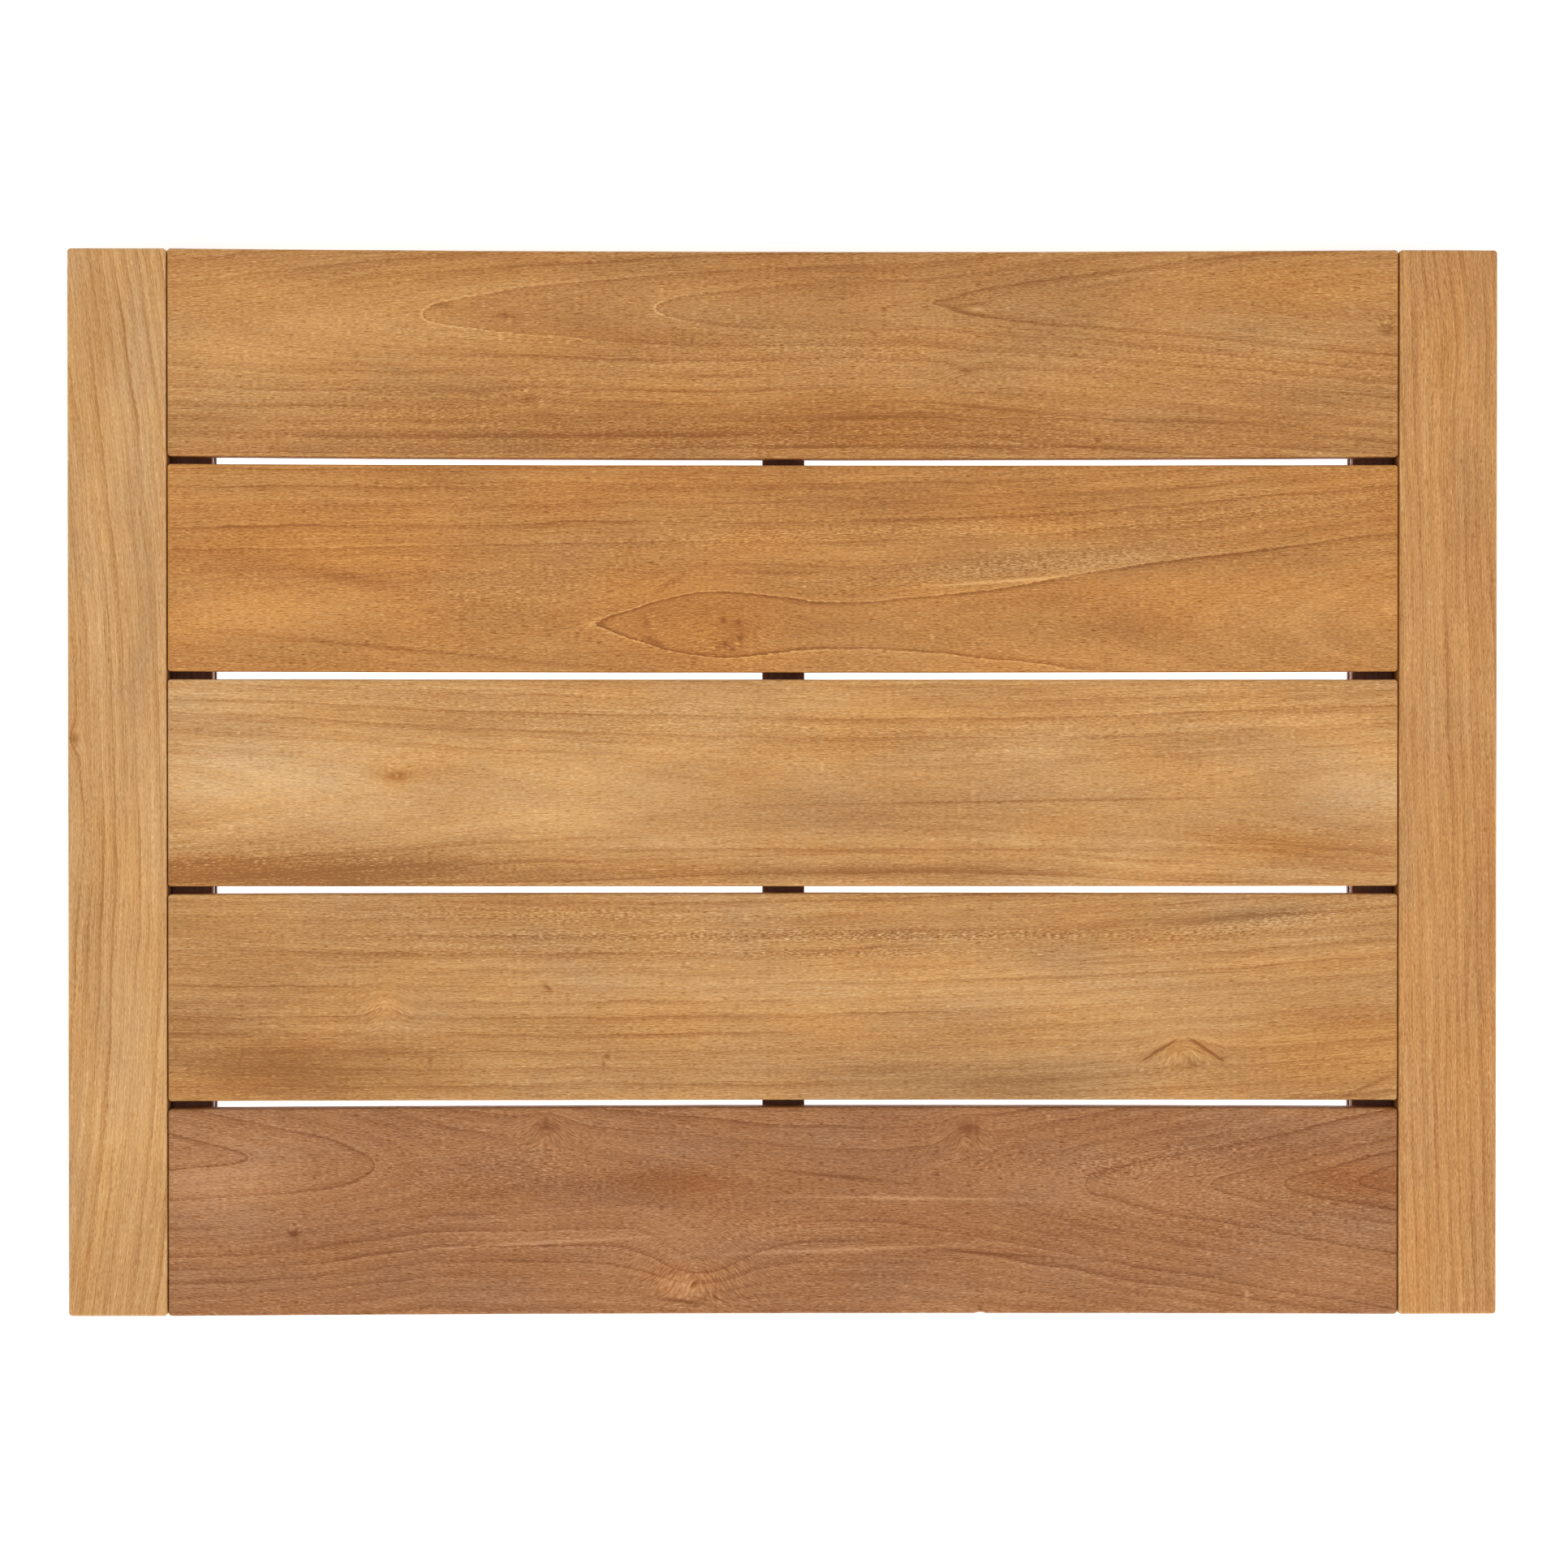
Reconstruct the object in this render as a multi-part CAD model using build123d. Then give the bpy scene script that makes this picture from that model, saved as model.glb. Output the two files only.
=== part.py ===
from build123d import *

import math
import os

# A rigid slatted bath mat in solid teak. Wide slats lie side by side between two end rails.
# Each slat end rests on a batten screwed to the inside of its rail, and a third batten carries
# the slats at mid length. Everything is screwed from below, and the mat stands on rubber feet.
#
# Frame, in millimetres: X runs along the slats, Y across them, Z up. The origin is on the floor
# under the middle of the mat. Left is -X, right is +X, back is +Y and front is -Y.

# Deck
mat_length = 610.0  # over the two end rails
rail_width = 42.0
slat_count = 5
slat_width = 88.3
slat_thickness = 14.0
slat_gap = 3.4  # the drainage gap between two slats
slat_end_gap = 0.4  # between a slat's end and its rail
board_easing = 1.5  # radius along every edge of a slat or rail

# Battens
batten_width = 18.0
batten_height = 18.0
batten_setback = 6.0  # from the mat's front or back edge to a batten's end
batten_easing = 1.0

# Wood screws, countersunk
core_diameter = 3.2
thread_diameter = 4.2
thread_pitch = 1.8
thread_ring = (0.25, 0.60, 0.75)  # a ring's foot, crest and other foot, as shares of the pitch
tip_length = 4.0
head_diameter = 8.0
head_rim = 0.4  # straight side above the head's cone
head_height = 2.8
head_sink = 0.5  # how far a head lies below the batten's face
slat_screw_bite = 7.5  # how far a slat's screw enters the slat
rail_screw_bite = 17.5  # how far a rail's screw enters the rail
plain_shank = 12.0  # unthreaded length next to the head
slat_screw_spacing = 48.0  # between the two screws that hold a slat to a batten
screw_clearance = 0.15  # all round a screw that passes through a batten
pilot_end_space = 0.6  # beyond a screw's point

# Cross recess in every screw head
recess_span = 4.4
recess_width = 0.9
recess_depth = 1.6
recess_taper = 8.0  # degrees

# Rubber feet, each held by one round-headed screw on a steel washer
foot_diameter = 16.0
foot_base_diameter = 14.0  # where it meets the floor
foot_height = 4.0
foot_web = 1.2  # rubber left between the wood and the washer
foot_easing = 0.5
washer_diameter = 8.4
washer_thickness = 0.6
washer_clearance = 0.15  # all round the washer in its pocket
shank_clearance = 0.2  # all round a foot screw's shank in its washer and in the rubber
foot_head_diameter = 6.4
foot_head_height = 1.5
foot_head_easing = 0.5
foot_screw_length = 14.0  # under the head
foot_shank_in_wood = 0.6  # unthreaded length beyond the rubber
foot_recess_span = 3.4
foot_recess_depth = 0.9

# What follows from them
slat_pitch = slat_width + slat_gap
mat_width = slat_count * slat_pitch - slat_gap
rail_height = slat_thickness + batten_height
rail_inside = mat_length / 2 - rail_width  # X of the right rail's inner face
slat_length = 2 * (rail_inside - slat_end_gap)
batten_length = mat_width - 2 * batten_setback
slat_underside = foot_height + batten_height
side_batten_x = rail_inside - batten_width / 2
rail_x = mat_length / 2 - rail_width / 2
slat_lines = [((slat_count - 1) / 2 - i) * slat_pitch for i in range(slat_count)]
gap_lines = [y - slat_pitch / 2 for y in slat_lines[:-1]]
slat_screw_lines = [y + s * slat_screw_spacing / 2 for y in slat_lines for s in (1, -1)]
slat_screw_length = batten_height - head_sink + slat_screw_bite
rail_screw_length = batten_width - head_sink + rail_screw_bite
slat_screw_start = foot_height + head_sink  # Z of the slat screws' heads
rail_screw_height = foot_height + batten_height / 2
rail_screw_start = rail_inside - batten_width + head_sink  # distance from the middle, along X
foot_line = slat_lines[0]  # a foot lies under the middle of each outermost slat
foot_bore = core_diameter / 2 + shank_clearance  # radius through a foot and its washer
foot_plain_shank = washer_thickness + foot_web + foot_shank_in_wood
washer_underside = foot_height - foot_web - washer_thickness
sides = {"left": -1, "right": 1}

standing = (Align.CENTER, Align.CENTER, Align.MIN)


def board(size_x, size_y, height, easing):
    """A plank standing on Z 0 with every edge eased."""
    plank = Box(size_x, size_y, height, align=standing)
    return fillet(plank.edges(), easing)


def drill(diameter, depth):
    """A straight hole's shape, from Z 0 upwards."""
    return Cylinder(diameter / 2, depth, align=standing)


def turned(*outline):
    """A solid of revolution about Z, from an outline of (radius, height) points."""
    profile = Plane.XZ * make_face(Polyline(*outline, close=True))
    return revolve(profile, Axis.Z)


def cross_recess(span, depth):
    """The shape of a cross recess in a screw head, from Z 0 upwards."""
    cross = Rectangle(span, recess_width) + Rectangle(recess_width, span)
    return extrude(cross, depth, taper=recess_taper)


def thread_outline(start, end):
    """Points of a thread drawn as separate rings, one each pitch, between two heights."""
    points = []
    for ring in range(math.floor((end - start) / thread_pitch)):
        below, crest, above = (start + (ring + share) * thread_pitch for share in thread_ring)
        points.append((core_diameter / 2, below))
        points.append((thread_diameter / 2, crest))
        points.append((core_diameter / 2, above))
    return points


def wood_screw(length):
    """A countersunk wood screw with its head's face on Z 0 and its point upwards."""
    blank = turned(
        (0, 0),
        (head_diameter / 2, 0),
        (head_diameter / 2, head_rim),
        (core_diameter / 2, head_height),
        *thread_outline(plain_shank, length - tip_length),
        (core_diameter / 2, length - tip_length),
        (0, length),
    )
    return blank - cross_recess(recess_span, recess_depth)


def wood_screw_hole(thickness):
    """The countersunk hole of a wood screw through a batten, from its face upwards. The head's
    cone seats on the hole's cone, and the rim and the shank pass with the clearance."""
    bore = thread_diameter / 2 + screw_clearance
    rim = head_diameter / 2 + screw_clearance
    seat = head_sink + head_rim
    cone_slope = (head_height - head_rim) / (head_diameter / 2 - core_diameter / 2)
    return turned(
        (0, 0),
        (rim, 0),
        (rim, seat),
        (head_diameter / 2, seat),
        (bore, seat + (head_diameter / 2 - bore) * cone_slope),
        (bore, thickness),
        (0, thickness),
    )


def foot_screw():
    """A round-headed screw for a foot: the head lies below Z 0 and its point is upwards."""
    blank = turned(
        (0, -foot_head_height),
        (foot_head_diameter / 2 - foot_head_easing, -foot_head_height),
        (foot_head_diameter / 2, foot_head_easing - foot_head_height),
        (foot_head_diameter / 2, 0),
        (core_diameter / 2, 0),
        *thread_outline(foot_plain_shank, foot_screw_length - tip_length),
        (core_diameter / 2, foot_screw_length - tip_length),
        (0, foot_screw_length),
    )
    return blank - Pos(0, 0, -foot_head_height) * cross_recess(foot_recess_span, foot_recess_depth)


def foot():
    """A rubber foot standing on Z 0, with a pocket for its washer and screw head."""
    pocket = washer_diameter / 2 + washer_clearance
    pocket_depth = foot_height - foot_web
    bump = turned(
        (foot_bore, foot_height),
        (foot_diameter / 2, foot_height),
        (foot_base_diameter / 2, 0),
        (pocket, 0),
        (pocket, pocket_depth),
        (foot_bore, pocket_depth),
    )
    rim = bump.edges().filter_by(GeomType.CIRCLE).group_by(Axis.Z)[0].sort_by(SortBy.RADIUS)[-1]
    return fillet(rim, foot_easing)


def washer():
    """The flat steel washer inside a foot, standing on Z 0."""
    return drill(washer_diameter, washer_thickness) - drill(2 * foot_bore, washer_thickness)


def slat(y):
    """One slat in place, with the pilot holes for its screws in the underside."""
    plank = Pos(0, y, slat_underside) * board(slat_length, slat_width, slat_thickness, board_easing)
    depth = slat_screw_bite + pilot_end_space
    for x in (-side_batten_x, 0, side_batten_x):
        for offset in (-slat_screw_spacing / 2, slat_screw_spacing / 2):
            plank -= Pos(x, y + offset, slat_underside) * drill(core_diameter, depth)
    return plank


def rail(side):
    """One end rail in place, with pilot holes for the batten's screws and for its two feet."""
    plank = Pos(side * rail_x, 0, foot_height) * board(
        rail_width, mat_width, rail_height, board_easing
    )
    reach = rail_screw_bite + pilot_end_space
    for y in gap_lines:
        start = Pos(side * rail_inside, y, rail_screw_height) * Rot(0, side * 90, 0)
        plank -= start * drill(core_diameter, reach)
    for y in (-foot_line, foot_line):
        plank -= Pos(side * rail_x, y, foot_height) * foot_pilot()
    return plank


def foot_pilot():
    """The pilot hole of a foot's screw, from the wood's underside upwards."""
    return drill(core_diameter, foot_screw_length - foot_web - washer_thickness + pilot_end_space)


def batten(x):
    """A batten with the countersunk holes for the slats' screws."""
    strip = Pos(x, 0, foot_height) * board(
        batten_width, batten_length, batten_height, batten_easing
    )
    for y in slat_screw_lines:
        strip -= Pos(x, y, foot_height) * wood_screw_hole(batten_height)
    return strip


def side_batten(side):
    """A batten beside a rail, with the countersunk holes for the screws into that rail."""
    strip = batten(side * side_batten_x)
    for y in gap_lines:
        face = Pos(side * (rail_inside - batten_width), y, rail_screw_height)
        strip -= face * Rot(0, side * 90, 0) * wood_screw_hole(batten_width)
    return strip


def centre_batten():
    """The batten at mid length, with the pilot holes for its two feet."""
    strip = batten(0)
    for y in (-foot_line, foot_line):
        strip -= Pos(0, y, foot_height) * foot_pilot()
    return strip


def slat_screws(x):
    """The screws that hold every slat to the batten at x."""
    screw = wood_screw(slat_screw_length)
    return [Pos(x, y, slat_screw_start) * screw for y in slat_screw_lines]


def rail_screws(side):
    """The screws that hold a side batten to its rail."""
    screw = wood_screw(rail_screw_length)
    return [
        Pos(side * rail_screw_start, y, rail_screw_height) * Rot(0, side * 90, 0) * screw
        for y in gap_lines
    ]


foot_places = {
    f"{column}_{row}": (x, y)
    for column, x in (("left", -rail_x), ("centre", 0), ("right", rail_x))
    for row, y in (("back", foot_line), ("front", -foot_line))
}

parts = {f"slat_{i + 1}": slat(y) for i, y in enumerate(slat_lines)}
for name, side in sides.items():
    parts[f"rail_{name}"] = rail(side)
    parts[f"batten_{name}"] = side_batten(side)
    parts[f"slat_screws_{name}"] = Compound(children=slat_screws(side * side_batten_x))
    parts[f"rail_screws_{name}"] = Compound(children=rail_screws(side))
parts["batten_centre"] = centre_batten()
parts["slat_screws_centre"] = Compound(children=slat_screws(0))
for name, (x, y) in foot_places.items():
    parts[f"foot_{name}"] = Pos(x, y, 0) * foot()
parts["foot_washers"] = Compound(
    children=[Pos(x, y, washer_underside) * washer() for x, y in foot_places.values()]
)
parts["foot_screws"] = Compound(
    children=[Pos(x, y, washer_underside) * foot_screw() for x, y in foot_places.values()]
)

os.makedirs("parts", exist_ok=True)
for name, shape in parts.items():
    export_step(shape, f"parts/{name}.step")
    box = shape.bounding_box()
    print(f"{name}: {box.size.X:.1f} x {box.size.Y:.1f} x {box.size.Z:.1f} mm")
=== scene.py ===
import math
from collections import namedtuple

import bpy
from mathutils import Euler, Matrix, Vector, noise


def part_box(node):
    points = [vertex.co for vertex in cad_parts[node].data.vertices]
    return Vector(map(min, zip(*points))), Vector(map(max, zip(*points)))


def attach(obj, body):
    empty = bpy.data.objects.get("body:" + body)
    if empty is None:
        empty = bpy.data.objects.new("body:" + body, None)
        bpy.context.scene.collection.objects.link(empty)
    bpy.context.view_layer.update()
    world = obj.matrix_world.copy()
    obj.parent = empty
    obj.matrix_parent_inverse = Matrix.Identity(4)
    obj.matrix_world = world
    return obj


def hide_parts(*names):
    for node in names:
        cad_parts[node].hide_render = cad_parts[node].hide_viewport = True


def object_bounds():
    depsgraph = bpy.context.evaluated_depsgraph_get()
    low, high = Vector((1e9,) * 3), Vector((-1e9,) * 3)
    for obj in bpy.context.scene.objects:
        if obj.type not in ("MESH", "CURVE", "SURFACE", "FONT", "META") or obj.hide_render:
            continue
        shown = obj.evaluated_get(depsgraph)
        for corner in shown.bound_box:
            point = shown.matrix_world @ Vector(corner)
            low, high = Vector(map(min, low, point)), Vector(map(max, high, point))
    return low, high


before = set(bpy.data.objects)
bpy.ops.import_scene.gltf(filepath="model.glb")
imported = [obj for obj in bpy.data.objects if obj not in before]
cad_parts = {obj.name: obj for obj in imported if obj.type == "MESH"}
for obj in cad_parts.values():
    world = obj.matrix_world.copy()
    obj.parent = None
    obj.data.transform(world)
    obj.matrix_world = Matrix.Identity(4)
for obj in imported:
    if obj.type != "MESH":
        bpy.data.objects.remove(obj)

bl_info = {
    "name": "Slatted bath mat",
    "version": (1, 0, 0),
    "blender": (4, 5, 0),
    "location": "3D View > Sidebar > Bath mat",
    "description": "Oiled teak, stainless steel and rubber for a slatted bath mat",
    "category": "Object",
}

MM = 0.001
CAD_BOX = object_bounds()
MATH = "ShaderNodeMath"
VECTOR_MATH = "ShaderNodeVectorMath"
NOISE = "ShaderNodeTexNoise"
MAP_RANGE = "ShaderNodeMapRange"
MAPPING = "ShaderNodeMapping"
COMBINE = "ShaderNodeCombineXYZ"
SEPARATE = "ShaderNodeSeparateXYZ"
RAMP = "ShaderNodeValToRGB"
PRINCIPLED = "ShaderNodeBsdfPrincipled"
SURFACE = "ShaderNodeOutputMaterial"
EVERY = slice(None)  # asks add for all of a node's outputs
QUARTER_TURN = math.radians(90)

# Every board is described in its own frame, in millimetres: x runs along the grain, y across it
# and z up from the upper face, so it is negative in the wood. A slat's x is the mat's X. A rail is
# turned a quarter, so that its x is the mat's Y and its y the mat's -X.
Spot = namedtuple("Spot", "x y long wide turn strength crisp", defaults=(1.0,))
Rings = namedtuple("Rings", "distance steepness fibres bands")

# The growth rings of each board. The tree's heart runs above the board, along a line given by how
# far across it lies, and how far above the face, both as powers of x in steps of 100 mm. pinch
# draws the heart nearer beyond two places, which closes the rings into ovals, and taper draws the
# rings in there, each as (place, strength) to the left and to the right. nearest is the least
# distance of the heart from the face, and slope how steep the rings are along it. The rings are
# spacing apart and moved by shift. contrast is how much fibres and pores stand out, and flecks are
# places where they do so more. bold gives the strength of the dark and the pale line of some
# rings, counted from the heart. Swirls push the rings aside, in millimetres, as a knot or a branch
# does. Tones are light and dark places, and warmths yellower and greyer ones. PLAIN holds for
# what a board doesn't give.
NONE = (0.0, 0.0)
PLAIN = dict(
    pinch=(),
    taper=(),
    nearest=3.0,
    slope=0.07,
    shift=0.0,
    contrast=1.0,
    bold={},
    swirls=(),
    tones=(),
    warmths=(),
    flecks=(),
)
GRAIN = {
    "slat_1": dict(
        across=(19.8, 2.2, -0.3),
        above=(10.4, -6.1),
        taper=(NONE, (0.6, 9)),
        nearest=7.8,
        spacing=6.0,
        shift=-1.8,
        slope=0.08,
        contrast=1.1,
        bold=dict.fromkeys(range(-2, 1), (0.1, 0)) | {1: (0.6, 0.1), 2: (0.25, 1.1), 3: (0.25, 1)},
        swirls=(
            Spot(-108, -20, 12, 7, 0, 2.5),
            Spot(78, -8.5, 10, 7, 0, -2.5),
            Spot(258, 10, 9, 5, 0, 2.5),
            Spot(78, 21, 12, 4, 0, 1.2),
        ),
        tones=(
            Spot(-225, 8, 75, 24, 0, 0.5),
            Spot(10, -33, 140, 12, 0, -0.4),
            Spot(-10, 38, 150, 8, 0, -0.15),
            Spot(215, -2, 60, 18, 0, 0.2),
            Spot(-60, -35.5, 160, 0.9, 0, -0.45),
            Spot(60, -40, 170, 0.8, 0, -0.5),
            Spot(160, -29, 70, 0.8, -1, -0.4),
            Spot(-119, 15.5, 5, 1.3, 0, -0.6),
            Spot(-146, 20, 5, 1.3, 0, -0.6),
            Spot(80, 20.5, 7, 0.8, 8, -0.6),
            Spot(82, 16.5, 7, 0.7, -8, -0.6),
            Spot(82, 18.5, 3, 0.9, 0, 0.7),
            Spot(134, -37, 1.3, 1.0, 0, -1.0),
            Spot(-108, -20, 3.5, 2.2, 0, -0.45),
            Spot(78, -8.5, 3.0, 1.6, 0, -0.4),
            Spot(258, 10, 3.2, 2.8, 0, -0.7),
        ),
        warmths=(
            Spot(10, -24, 140, 18, 0, 0.8),
            Spot(215, 28, 50, 12, 0, 0.9),
            Spot(-200, 14, 90, 20, 0, 0.7),
        ),
        flecks=(
            Spot(10, -36, 160, 6, 0, 0.7),
            Spot(15, 0, 60, 9, 0, 0.7),
            Spot(-150, -25, 60, 10, 0, 0.5),
            Spot(190, -5, 70, 10, 0, 0.3),
        ),
    ),
    "slat_2": dict(
        across=(-24,),
        above=(43.2, -1.1),
        pinch=(NONE, (0.4, 4.2)),
        spacing=6.0,
        shift=-2.0,
        contrast=1.1,
        bold=dict.fromkeys(range(2, 7), (0.1, 0)) | {7: (1, 0.8), 9: (0.3, 0.9), 10: (0.6, 0.2)},
        swirls=(
            Spot(-28, -24, 26, 14, 0, -4.0),
            Spot(-60, -5, 14, 6, 20, 1.5),
        ),
        tones=(
            Spot(-225, -24, 60, 14, 0, 0.25),
            Spot(-250, 32, 60, 12, 0, 0.3),
            Spot(0, 34, 120, 9, 0, -0.15),
            Spot(-42, -23, 32, 12, 0, -0.3),
            Spot(-22, -28, 8, 7, 0, -0.3),
            Spot(-26, -22.4, 1.5, 1.1, 0, -0.9),
            Spot(-19.3, -23.3, 1.3, 1.6, 0, -0.8),
            Spot(-25, -32.5, 1.6, 1.3, 0, -0.9),
            Spot(-18.4, -29.8, 1.2, 1.8, 0, -0.8),
            Spot(-22.2, -34.6, 1.8, 1.0, 0, -0.7),
            Spot(-58.5, -24, 1.5, 3.5, 20, -0.45),
            Spot(-56, -31, 6, 1.0, -28, -0.6),
            Spot(-47.5, -6, 8, 1.3, 32, -0.5),
            Spot(0, -2.2, 14, 1.0, 0, -0.5),
            Spot(-165, -34.5, 75, 0.9, -5.5, -0.5),
            Spot(-185, -5, 24, 2.6, -10, -0.45),
            Spot(-228, -1, 20, 2, 0, -0.4),
            Spot(95, -5.6, 34, 0.7, 4, 1.0),
            Spot(100, 0, 55, 4, 4, 0.15),
            Spot(225, -22, 45, 14, 0, 0.25),
        ),
        warmths=(
            Spot(-42, -23, 34, 14, 0, 0.9),
            Spot(-230, 8, 70, 44, 0, 0.7),
            Spot(110, 2, 70, 7, 4, -1.2),
        ),
        flecks=(
            Spot(105, 1, 65, 4.5, 5, 1.5),
            Spot(10, 14, 90, 3, 3, 0.9),
            Spot(200, 24, 70, 5, 6, 0.7),
            Spot(-110, -10, 40, 10, 0, 0.5),
        ),
    ),
    "slat_3": dict(
        across=(-6,),
        above=(30,),
        pinch=((0.4, 1.6), (0.4, 1.6)),
        spacing=6.0,
        shift=3.0,
        contrast=0.85,
        bold={4: (0.1, 0.1), 5: (0.05, 0.0), 7: (0.3, 0.1), 8: (0.5, 0.1)},
        swirls=(Spot(-165, 3, 8, 3.5, 0, 2.0),),
        tones=(
            Spot(-225, 2, 62, 18, 0, 0.55),
            Spot(-110, -8, 60, 17, 0, 0.42),
            Spot(-240, 36, 50, 10, 0, 0.25),
            Spot(250, 0, 36, 13, 0, 0.5),
            Spot(-215, -39, 90, 8, 0, -0.95),
            Spot(-20, -38, 120, 4, 0, -0.4),
            Spot(215, -27, 36, 7, -5, -0.45),
            Spot(40, -38, 90, 5, 0, -0.2),
            Spot(60, -14, 120, 10, 0, -0.12),
            Spot(40, -28.6, 150, 0.9, 0, -0.45),
            Spot(105, -7.8, 90, 0.6, 1, -0.6),
            Spot(-165, 3, 9, 3, 0, -0.25),
            Spot(-165, 3, 4.5, 2.0, 0, -0.8),
            Spot(-165, 3, 0.9, 0.7, 0, 1.0),
            Spot(-163, 11, 2.5, 1.2, 0, -0.3),
        ),
        warmths=(
            Spot(-165, 3, 9, 4.5, 0, 1.0),
            Spot(60, 30, 160, 12, 0, 0.5),
            Spot(215, -27, 40, 8, 0, 0.8),
            Spot(-240, 0, 60, 30, 0, -0.3),
        ),
        flecks=(
            Spot(-215, -36, 90, 8, 0, 0.9),
            Spot(-60, 26, 120, 8, -4, 0.4),
            Spot(150, 26, 90, 8, 4, 0.4),
        ),
    ),
    "slat_4": dict(
        across=(-75, 1.6, 0.9, 0.1),
        above=(10,),
        spacing=7.0,
        shift=2.0,
        contrast=0.9,
        swirls=(
            Spot(-170, -2, 9, 9, 0, -4.5),
            Spot(171, -21, 13, 8, 0, -5.5),
        ),
        tones=(
            Spot(-220, -30, 60, 15, 0, -0.75),
            Spot(-235, 8, 40, 16, 0, -0.2),
            Spot(40, 2, 150, 12, 0, 0.3),
            Spot(85, -36, 65, 8, 0, -0.25),
            Spot(232, -26, 30, 14, 0, -0.2),
            Spot(-130, 19, 60, 3, 0, -0.2),
            Spot(30, 27, 120, 3, 0, -0.2),
            Spot(205, 36, 38, 2.5, 7, -0.4),
            Spot(-101, 4.4, 2.2, 0.8, -35, -1.0),
            Spot(-75.5, -25, 1.0, 0.8, 0, -1.0),
            Spot(-77, -29, 0.7, 2.2, 0, -0.5),
            Spot(-170, -3, 5, 3.5, 0, 0.25),
            Spot(160.6, -22.6, 10, 0.6, 32, -1.1, 2),
            Spot(180.4, -22.2, 8.5, 0.7, -34, -1.3, 2),
            Spot(187, -26.5, 2.4, 1.0, 0, -0.8),
            Spot(250, -38, 14, 0.8, 24, -0.6),
        ),
        warmths=(
            Spot(-170, -2, 9, 7, 0, 0.9),
            Spot(235, -24, 32, 15, 0, 1.4),
            Spot(85, -36, 75, 10, 0, -1.4),
            Spot(171, -24, 14, 8, 0, 0.9),
            Spot(205, 36, 40, 4, 7, -1.0),
            Spot(-225, -30, 50, 12, 0, 0.5),
        ),
        flecks=(
            Spot(20, 26.5, 150, 2.4, 0, 2.0),
            Spot(20, 19, 70, 1.8, 0, 1.2),
            Spot(-100, 35, 80, 3.0, 0, 1.1),
            Spot(215, 33, 45, 4.0, 9, 1.2),
            Spot(-130, 20, 60, 4.0, 0, 0.5),
        ),
    ),
    "slat_5": dict(
        across=(12.3, -2.45, 1.1),
        above=(25.2,),
        pinch=((0.4, 3.45), (0.4, 24.4)),
        taper=((-1.5, 14), (1.25, 19)),
        nearest=5.0,
        slope=0.14,
        spacing=6.0,
        contrast=1.25,
        bold={
            -3: (0.7, 0.2),
            -2: (1.0, 0.3),
            -1: (0.8, 0.2),
            0: (0.1, 0.1),
            1: (0.9, 0.3),
            2: (0.1, 0.1),
            5: (0.5, 0.9),
            6: (0.6, 0.9),
        },
        swirls=(
            Spot(-209, -9, 6, 3, 0, 2.0),
            Spot(-36, -20, 22, 17, 0, -11.0),
            Spot(-101, 36, 9, 8, 0, -5.0),
            Spot(78, 34, 9, 8, 0, -5.0),
            Spot(145, 11, 16, 7, 0, 2.6),
        ),
        tones=(
            Spot(-240, 10, 40, 26, 0, 0.5),
            Spot(-44, 13, 27, 5, -2, -0.24, 4),
            Spot(-105, 10, 45, 4, 6, -0.22),
            Spot(246, 13, 26, 7, 0, -0.5, 1.5),
            Spot(-209, -9, 2.4, 1.4, 0, -1.4),
            Spot(-44, -32, 10, 5.0, -14, 0.4, 3),
            Spot(-42, -38.4, 10, 0.7, -6, -0.9),
            Spot(-101, 37, 4, 3, 0, -0.8),
            Spot(79, 36, 4, 3, 0, -0.8),
            Spot(55, 5.8, 50, 0.8, -1, 0.8),
            Spot(30, -16, 50, 0.9, 2, 0.8),
            Spot(90, -18, 30, 0.7, -4, -0.8),
            Spot(20, 15.6, 26, 0.8, -6, -0.8),
            Spot(-105, -13, 46, 0.7, 3, 0.9),
            Spot(198, -36, 1.0, 2.6, 0, 0.9),
        ),
        warmths=(
            Spot(-45, -30, 14, 8, 0, 1.4),
            Spot(60, -5, 90, 8, 0, 0.7),
            Spot(-44, 13, 28, 6, -2, 1.3),
            Spot(246, 13, 26, 8, 0, 1.2),
        ),
        flecks=(
            Spot(-110, 18, 60, 8, 0, 0.6),
            Spot(-20, -8, 40, 10, 0, 0.9),
            Spot(150, 22, 50, 6, 4, 1.0),
            Spot(190, 0, 70, 14, 0, 0.6),
        ),
    ),
    "rail_left": dict(
        across=(60, 1.7, 3.4),
        above=(10,),
        spacing=5.0,
        contrast=0.6,
        swirls=(
            Spot(19, 18, 6, 4, 0, 3.0),
            Spot(-20, 16, 25, 5, 0, -2.0),
        ),
        tones=(Spot(19, 18, 2.2, 1.8, 0, -0.9),),
    ),
    "rail_right": dict(
        across=(-60, 3.0, 0.3),
        above=(10,),
        spacing=5.0,
        contrast=0.75,
        swirls=(Spot(190, -4, 30, 14, 0, 4.0),),
    ),
    "batten": dict(across=(30,), above=(6,), spacing=3.5),
}


# -------- settings


def linear(hex_colour):
    """The linear colour of an sRGB hex value."""
    channels = []
    for start in (1, 3, 5):
        value = int(hex_colour[start : start + 2], 16) / 255
        channels.append(value / 12.92 if value <= 0.04045 else ((value + 0.055) / 1.055) ** 2.4)
    return tuple(channels)


def colour_setting(label, hex_colour, description):
    """A colour that the user can change."""
    return bpy.props.FloatVectorProperty(
        name=label,
        description=description,
        subtype="COLOR",
        min=0.0,
        max=1.0,
        default=linear(hex_colour),
    )


def length_setting(label, metres, description):
    """A length that the user can change."""
    return bpy.props.FloatProperty(
        name=label, description=description, subtype="DISTANCE", unit="LENGTH", default=metres
    )


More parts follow.
